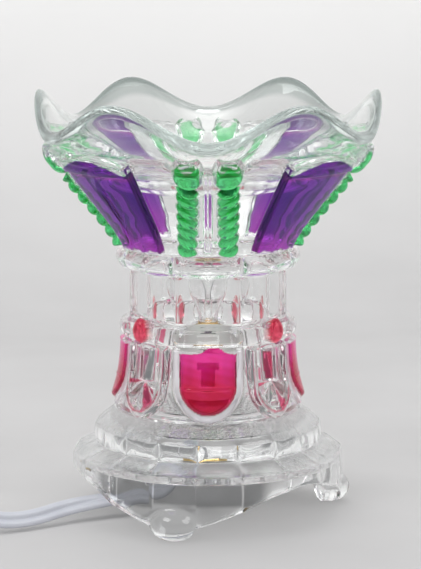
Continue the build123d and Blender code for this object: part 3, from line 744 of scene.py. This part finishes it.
def shade_profile():
    """The shade's section: its points, outward normals, run along it and whether they are outside."""
    outline = [
        (29.2, 39.55),
        (32.6, 39.55),
        *curve_through(LOW_WALL, 40),
        (30.4, 66.1),
        (30.7, 69.5),
        (30.4, 72.9),
        (28.3, 74.4),
        (28.2, 91.4),
        (31.0, 93.0),
        (31.8, 95.8),
        (31.2, 98.8),
        *curve_through(CROWN, 60),
        (58.2, 136.5),
        (57.4, RIM_Z),
        (54.5, RIM_Z),
        *curve_through(INSIDE, 50),
        (24.4, 67.0),
        (28.6, 45.0),
        (28.8, 40.0),
    ]
    line = rounded(outline, 0.45)
    soft_line = rounded(outline, 2.2)
    rim = int(np.argmax(line[:, 1] + 0.02 * line[:, 0]))
    start = int(np.argmax(line[:, 1] > CROWN_Z))
    keep = np.concatenate([
        np.arange(0, start, 4), np.arange(start, rim + 30, 3), np.arange(rim + 36, len(line), 12)
    ])
    slope = np.roll(soft_line, -1, 0) - np.roll(soft_line, 1, 0)
    normal = np.stack([slope[:, 1], -slope[:, 0]], -1)
    normal /= np.linalg.norm(normal, axis=1)[:, None]
    normal[rim - 80 : rim + 40] = normal[rim - 80]
    outer = (keep <= rim + 6)[:, None]
    return line[keep], normal[keep], (keep * OUTLINE_STEP)[:, None], outer


def tongue(u, z, half, low):
    """Distance inside the edge of a U-ended panel."""
    centre = low + half
    flat = half - np.abs(u)
    end = half - np.hypot(u, np.minimum(0, z - centre))
    return np.where(z > centre, flat, end)


def ragged(phi, size):
    """An uneven brush line round the shade."""
    p = np.radians(phi)
    return size * (np.sin(31 * p) + 0.6 * np.sin(83 * p + 1) + 0.4 * np.sin(149 * p + 2))


def make_shade():
    phi = shade_columns()
    line, normal, run, outer = shade_profile()
    R, Z = line[:, :1], line[:, 1:]
    a = local(phi, 90)[None, :]  # from a pair of columns, and a pink petal
    b = local(phi, 45)[None, :]
    slant = local(phi, 90, 45)[None, :]  # from a purple panel, and a clear petal
    mm = np.radians(1.0) * R
    middle, side = a * mm, slant * mm

    # Flats of the waist
    waist = ramp(73.6, 75.0, Z) * (1 - ramp(91.0, 92.4, Z))
    flats = waist * WAIST_FLAT * (1 / np.cos(np.radians(np.minimum(np.abs(b), 22.0))) - 1)

    # Petals, with their borders
    pink_in = tongue(middle, Z, *PINK_PETAL)
    petal = arch(pink_in / 1.8) * (2.5 + 0.7 * clamp(pink_in / 9) + 0.10 * np.maximum(0, CREASE_Z - Z))
    petal = petal + 0.3 * clamp(1 - np.abs(Z - CREASE_Z) / 0.6) * ramp(1.5, 3.0, pink_in)
    border_in = tongue(middle, Z, *BORDER)
    border = 1.7 * arch(border_in / 1.3)
    clear_in = tongue(side, Z, *CLEAR_PETAL)
    loop = 3.6 * arch(clear_in / 1.4) - 2.2 * ramp(2.0, 3.6, clear_in)
    inside = ramp(2.0, 4.0, clear_in)
    keel = 2.2 * clamp(1 - np.abs(side) / 3.6) * inside * ramp(52.5, 53.5, Z)
    fan = np.degrees(np.arctan2(side, np.maximum(0.01, FAN_Z - Z)))
    cuts = 1.6 * (1 - np.abs(local(fan, 52.0, 8.0)) / 26) * inside * ramp(53.4, 51.0, Z)
    petals = blunt(petal, border, loop + keel + cuts) * (1 - ramp(*PETAL_TOP, Z))

    # Bead collar
    stretch = np.maximum(0, np.abs(middle) - OVAL_HALF)
    oval = np.sqrt(np.maximum(0, OVAL_R**2 - (Z - OVAL_Z) ** 2 - stretch**2)) + OVAL_OUT - R
    round_in = BALL_R**2 - (Z - BALL_Z) ** 2 - side**2
    ball = np.where(round_in > 0, np.sqrt(np.maximum(0, round_in)) + BALL_OUT - R, 0)
    beads = blunt(np.where((Z > 66) & (Z < 73.5), oval, 0), ball)

    # Lobes under the crown
    ends = half_round(clamp((np.abs(b) - 15.5) / 6.3))
    lobes = LOBE_OUT * half_round((Z - LOBE_Z) / LOBE_H) * ends

    # Rope columns in pairs side by side, each with a knob over it
    foot = run[np.argmin(np.abs(Z[: len(Z) // 2] - ROPE_Z))]
    top = run[np.argmax(Z)]
    t = clamp((run - foot) / (top - foot))
    across = R * np.sin(np.radians(np.abs(a))) - ROPE_AT
    lean = ROPE_LEAN * across
    twist = np.abs(np.sin(pi * (run - lean) / ROPE_PITCH)) ** 0.5
    stop = top - ROPE_END + lean
    rope = (ROPE_R + ROPE_GROWS * t) * (0.52 + 0.48 * twist)
    rope = np.sqrt(np.maximum(0, rope**2 - across**2))
    rope = rope * (1 - ramp(stop - 0.9, stop + 0.1, run)) * ramp(foot - 0.5, foot + 1.0, run)
    past = np.maximum(0, np.maximum(top - KNOB_FROM + 0.5 * lean - run, run - top + KNOB_TO))
    knob = 0.8 * np.sqrt(np.maximum(0, KNOB_R**2 - across**2 - past**2))
    shaded_notch = (across / 3.4) ** 2 + ((run - stop - 0.1) / 0.8) ** 2 < 1
    columns = blunt(rope, knob, soft=0.2)
    rib = clamp(1 - np.abs(middle) / 1.8) * ramp(foot, foot + 2, run) * ramp(top - 6, top - 9, run)

    # Raised panels, and the rolled rim with an almond between knob and panel
    edge = (PANEL_HALF - np.abs(slant)) * mm
    brow = 0.9 * ramp(top - 8.0, top - 7.2, run)
    panel = (PANEL_OUT + brow) * arch(edge) * ramp(100.6, 101.6, Z)
    lens = 2.5 * np.maximum(0, 1 - ((np.abs(a) - ALMOND_AT) / 8.2) ** 2) + 0.01
    roll = 1.7 * half_round((run - top + 2.6) / lens)
    lens = 2.2 * np.maximum(0, 1 - (slant / 15.5) ** 2) + 0.01
    cap = 0.5 * half_round((run - top + 2.2) / lens)
    panel = panel + cap * (edge > 0)

    # All relief goes out along the normals, and the rim rises in scallops over it
    h = blunt(petals, beads, lobes, columns, panel, roll, rib, soft=0.3)
    h = np.where(outer, np.maximum(h, 0), 0)
    fade = 1 - ramp(top - 0.8, top + 0.5, run)
    radius = R + (h * fade + flats * outer) * normal[:, :1]
    height = Z + h * normal[:, 1:] * fade
    almond = half_round((np.abs(a) - ALMOND_AT) / 8.6)
    scallop = np.maximum(half_round(across / 5.6), 0.9 * np.maximum(almond, half_round(slant / 15.6)))
    lift = 2.6 * ramp(55.4, 58.0, R) * scallop - 2.0 * (1 - scallop)
    height = height + ramp(RIM_Z - 4, RIM_Z, Z) * lift

    # Stain on the outer face, and how much of it is lacquer that hides the glass
    shape = radius.shape
    colour = np.broadcast_to(CLEAR, (*shape, 3)).copy()
    lacquer = np.zeros(shape)

    def coat(where, tint, hide):
        where = np.broadcast_to(where & outer, shape)
        tint = np.broadcast_to(np.clip(tint, 0, 1) ** 2, (*shape, 3))
        colour[where] = tint[where]
        lacquer[where] = hide

    streak = 0.5 + 0.3 * np.sin(np.radians(slant) * 41 + 0.3) + 0.2 * np.sin(np.radians(slant) * 97)
    # A magenta band just under the brow near each panel's top is a painted highlight
    painted_highlight_band = ramp(top - 10.5, top - 8.5, run) * ramp(top - 6.6, top - 7.6, run)
    mix = ramp(116, 102, Z) * 0.75 + 0.8 * painted_highlight_band
    mix = clamp(mix + 0.25 * (streak - 0.5))[..., None]
    purple = PURPLE * (1 - mix) + MAGENTA * mix
    # Darker on the panels' steep side walls: painted shade
    purple = purple * (0.55 + 0.45 * ramp(0.6, 1.3, edge))[..., None]
    paint_foot = 102.2 + ragged(phi, 0.45)[None, :]
    paint_top = top - 2.4 - 3.6 * (slant / PANEL_HALF) ** 2
    coat((edge > -0.1) & (Z > paint_foot) & (run < paint_top), purple, 0.06)

    paint_top = top - 4.0 + 0.7 * np.sin(0.9 * across + 1.3 * np.sign(a))
    green = (columns > 0.4) & (Z > 101.2) & (run < paint_top) & (np.abs(across) < 4.3)
    # The ropes' green is darker in the grooves and lighter on the ridges: painted shade and painted
    # highlight
    coat(green, GREEN * (0.7 + 0.45 * np.where(run < stop, twist, 0.9)[..., None]), 0.12)
    # A dark green spot of painted shade in the crease where each rope stops under its knob
    coat(shaded_notch, NOTCH_SHADE, 0.4)

    paint_top = 66.2 + 0.5 * np.sin(np.radians(a) * 14 + 0.5) - 0.018 * (middle - 1.0) ** 2
    wash = 0.10 * np.sin(0.8 * middle) + 0.08 * np.sin(1.9 * Z + 0.5 * middle)
    mix = clamp(ramp(64.5, 49, Z) + wash)[..., None]
    # The petals' borders are coated milky white: partly the glass's haze, partly painted light for the
    # bright floor seen through them
    coat((border_in > 0.1) & (Z < 65.8), MILKY_HAZE_AND_LIGHT, 0.35)
    # Darker near the petals' rounded edges: painted shade
    pink = (PINK * (1 - mix) + CRIMSON * mix) * (0.72 + 0.28 * ramp(0.3, 2.2, pink_in))[..., None]
    coat((pink_in > 0.3) & (Z < paint_top), pink, 0.4)
    coat(round_in > 0.4, RED, 0.3)

    face = (side > -2.8) & (side < -0.3) & (Z > 53.6) & (Z < 64.5)
    wedge = (np.abs(local(fan, 104.0, 21.0)) < 12) & (Z < 52.4) & (clear_in > 2.4)
    inner_line = (clear_in > 1.7) & (clear_in < 2.3) & (Z < 50)
    coat(face | wedge | inner_line, BLUSH, 0.12)
    paint = {"stain": colour, "lacquer": lacquer}
    return ring_mesh("shade", turned(radius, height, phi), attributes=paint)


STAINED = ["glass_shade", "clear_relief", "pink_petals", "red_beads", "purple_panels", "green_columns"]
finish_piece(make_shade(), glass_shade, "shade", STAINED)


# Studio, in metres

FLOOR_TONE, WALL_TONE = (0.54, 0.535, 0.535), (0.92, 0.915, 0.905)
PALE_FROM = 0.22  # the height from which the cloth has the wall's tone
CLOTH_HALF, CLOTH_FRONT, CLOTH_TOP = 2.4, -2.2, 2.6
SWEEP_Y, SWEEP_R = 0.35, 0.45
SEEN_Z = 0.17  # the camera sees the cloth only below this
WORLD_COLOUR, WORLD_STRENGTH = (0.62, 0.63, 0.65, 1), 0.32
BOUNCES = 48

cloth, tree, shader = material("cloth", Roughness=0.95)
mottled(tree, shader, FLOOR_TONE, tuple(1.05 * c for c in FLOOR_TONE), 14.0)
climb = add(tree, "ShaderNodeMapRange", Value=object_axes(tree)["Z"], **{"From Max": PALE_FROM})
floor_tone = shader.inputs["Base Color"].links[0].from_socket
feed(tree, shader.inputs["Base Color"], blend(tree, climb.outputs["Result"], floor_tone, WALL_TONE))


def drape(name, outline):
    """A strip of cloth, wide in x, from its outline in y and z."""
    verts = [(x, y, z) for y, z in outline for x in (-CLOTH_HALF, CLOTH_HALF)]
    faces = [(2 * i, 2 * i + 1, 2 * i + 3, 2 * i + 2) for i in range(len(outline) - 1)]
    mesh = bpy.data.meshes.new(name)
    mesh.from_pydata(verts, [], faces)
    mesh.polygons.foreach_set("use_smooth", np.ones(len(mesh.polygons), bool))
    mesh.materials.append(cloth)
    obj = bpy.data.objects.new(name, mesh)
    scene.collection.objects.link(obj)
    return obj


# The cloth rises behind the object. Only its low part is in the picture, so that the upper part,
# which is there for the glass and the light, can be looked through from behind.
bend = [(SWEEP_Y + SWEEP_R * sin(t), SWEEP_R - SWEEP_R * cos(t)) for t in np.linspace(0.05, pi / 2, 24)]
seen = [p for p in bend if p[1] < SEEN_Z]
drape("floor_cloth", [(CLOTH_FRONT, 0.0), (SWEEP_Y, 0.0), *seen])
upper = [seen[-1], *bend[len(seen) :], (SWEEP_Y + SWEEP_R, CLOTH_TOP)]
drape("wall_cloth", upper).visible_camera = False

world = bpy.data.worlds.new("studio")
world.use_nodes = True
scene.world = world
background = world.node_tree.nodes["Background"]
background.inputs["Color"].default_value = WORLD_COLOUR
background.inputs["Strength"].default_value = WORLD_STRENGTH


def softbox(name, place, size, power, mirrored=True, target=(0, 0, 0.08)):
    data = bpy.data.lights.new(name, "AREA")
    data.shape = "RECTANGLE"
    data.size, data.size_y = size
    data.energy = power
    obj = bpy.data.objects.new(name, data)
    obj.location = place
    obj.rotation_euler = (Vector(target) - Vector(place)).to_track_quat("-Z", "Y").to_euler()
    obj.visible_glossy = mirrored
    scene.collection.objects.link(obj)


softbox("key", (-0.9, -0.7, 1.3), (0.9, 0.7), 11.4)
softbox("fill", (1.0, -0.6, 0.9), (0.7, 0.7), 6.0)
softbox("top", (0.0, 0.3, 1.5), (1.2, 0.8), 8.0, mirrored=False)
softbox("front", (0.0, -1.5, 0.6), (1.0, 0.6), 9.4, mirrored=False)

scene.view_settings.view_transform = "Standard"
scene.cycles.max_bounces = BOUNCES
scene.cycles.transmission_bounces = BOUNCES
scene.cycles.glossy_bounces = BOUNCES
scene.cycles.transparent_max_bounces = 24
scene.cycles.caustics_refractive = False
scene.cycles.caustics_reflective = False
scene.cycles.use_denoising = True
